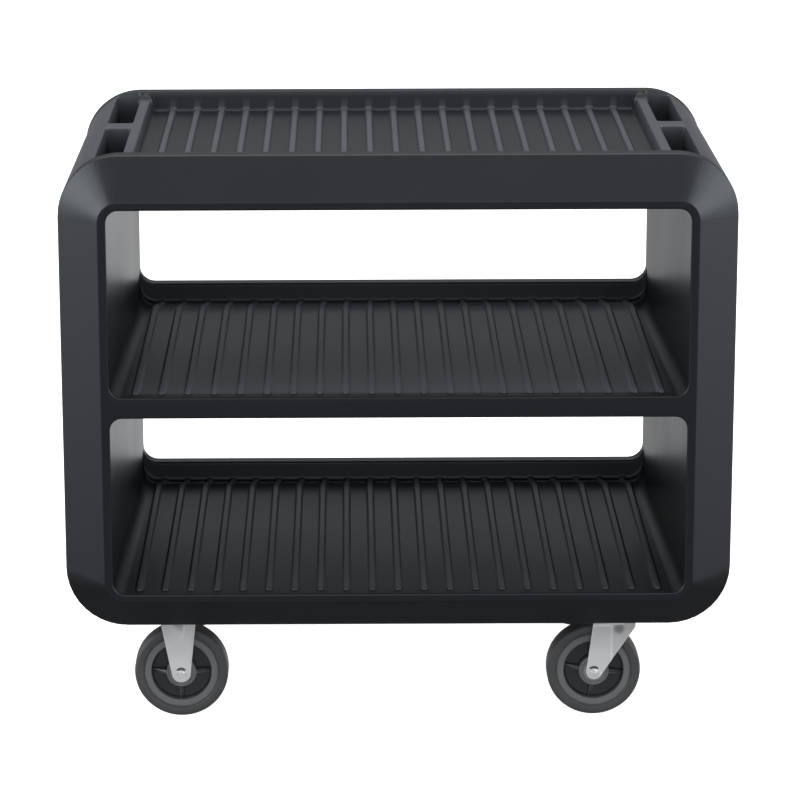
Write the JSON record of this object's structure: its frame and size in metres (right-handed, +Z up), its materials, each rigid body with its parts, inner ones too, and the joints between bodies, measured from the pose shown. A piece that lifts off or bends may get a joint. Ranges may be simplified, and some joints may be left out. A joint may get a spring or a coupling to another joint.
{
  "type": "utility cart",
  "caption": "Rolling utility cart: one-piece moulded body with a ribbed top tray, two open ribbed shelves and end handles, on rigid and swivel casters.",
  "frame": {"origin": "on the floor under the middle of the cart", "axes": "+X along the length towards the swivel casters, -Y out of the open front, +Z up"},
  "size_m": [1.06, 0.672, 0.942],
  "materials": {
    "moulded_body": "satin black moulded polyethylene with a fine moulded grain",
    "plug": "matt black plastic",
    "brass_insert": "plain turned brass",
    "zinc_fastener": "bright zinc plated steel",
    "zinc_sheet": "zinc plated pressed steel sheet",
    "bearing_steel": "polished steel",
    "bush": "grey nylon",
    "wheel_core": "dark grey moulded polyolefin",
    "tread": "dark grey thermoplastic rubber"
  },
  "bodies": {
    "cart": {"cart_body": "moulded_body", "vent_plug": "plug", "caster_inserts": "brass_insert", "caster_bolts": "zinc_fastener", "caster_washers": "zinc_fastener", "rigid_fork_front": "zinc_sheet", "rigid_fork_rear": "zinc_sheet", "swivel_plate_front": "zinc_sheet", "swivel_plate_rear": "zinc_sheet", "kingpin_front": "bearing_steel", "kingpin_rear": "bearing_steel", "kingpin_nut_front": "zinc_fastener", "kingpin_nut_rear": "zinc_fastener", "axle_bolt_rigid_front": "zinc_fastener", "axle_bolt_rigid_rear": "zinc_fastener", "axle_nut_rigid_front": "zinc_fastener", "axle_nut_rigid_rear": "zinc_fastener", "axle_sleeve_rigid_front": "bearing_steel", "axle_sleeve_rigid_rear": "bearing_steel"},
    "swivel_front": {"swivel_fork_front": "zinc_sheet", "swivel_balls_front": "bearing_steel", "axle_bolt_swivel_front": "zinc_fastener", "axle_nut_swivel_front": "zinc_fastener", "axle_sleeve_swivel_front": "bearing_steel"},
    "swivel_rear": {"swivel_fork_rear": "zinc_sheet", "swivel_balls_rear": "bearing_steel", "axle_bolt_swivel_rear": "zinc_fastener", "axle_nut_swivel_rear": "zinc_fastener", "axle_sleeve_swivel_rear": "bearing_steel"},
    "wheel_rigid_front": {"hub_bushes_rigid_front": "bush", "wheel_core_rigid_front": "wheel_core", "tyre_rigid_front": "tread"},
    "wheel_rigid_rear": {"hub_bushes_rigid_rear": "bush", "wheel_core_rigid_rear": "wheel_core", "tyre_rigid_rear": "tread"},
    "wheel_swivel_front": {"hub_bushes_swivel_front": "bush", "wheel_core_swivel_front": "wheel_core", "tyre_swivel_front": "tread"},
    "wheel_swivel_rear": {"hub_bushes_swivel_rear": "bush", "wheel_core_swivel_rear": "wheel_core", "tyre_swivel_rear": "tread"}
  },
  "joints": [
    {"name": "swivel_turn_front", "type": "hinge", "parent": "cart", "child": "swivel_front", "pos_m": [0.352, -0.2, 0.158], "axis": [0, 0, 1], "continuous": true},
    {"name": "wheel_spin_rigid_front", "type": "hinge", "parent": "cart", "child": "wheel_rigid_front", "pos_m": [-0.352, -0.2, 0.0762], "axis": [0, 1, 0], "continuous": true},
    {"name": "wheel_spin_swivel_front", "type": "hinge", "parent": "swivel_front", "child": "wheel_swivel_front", "pos_m": [0.319, -0.2, 0.0762], "axis": [0, 1, 0], "continuous": true},
    {"name": "swivel_turn_rear", "type": "hinge", "parent": "cart", "child": "swivel_rear", "pos_m": [0.352, 0.26, 0.158], "axis": [0, 0, 1], "continuous": true},
    {"name": "wheel_spin_rigid_rear", "type": "hinge", "parent": "cart", "child": "wheel_rigid_rear", "pos_m": [-0.352, 0.26, 0.0762], "axis": [0, 1, 0], "continuous": true},
    {"name": "wheel_spin_swivel_rear", "type": "hinge", "parent": "swivel_rear", "child": "wheel_swivel_rear", "pos_m": [0.319, 0.26, 0.0762], "axis": [0, 1, 0], "continuous": true}
  ]
}
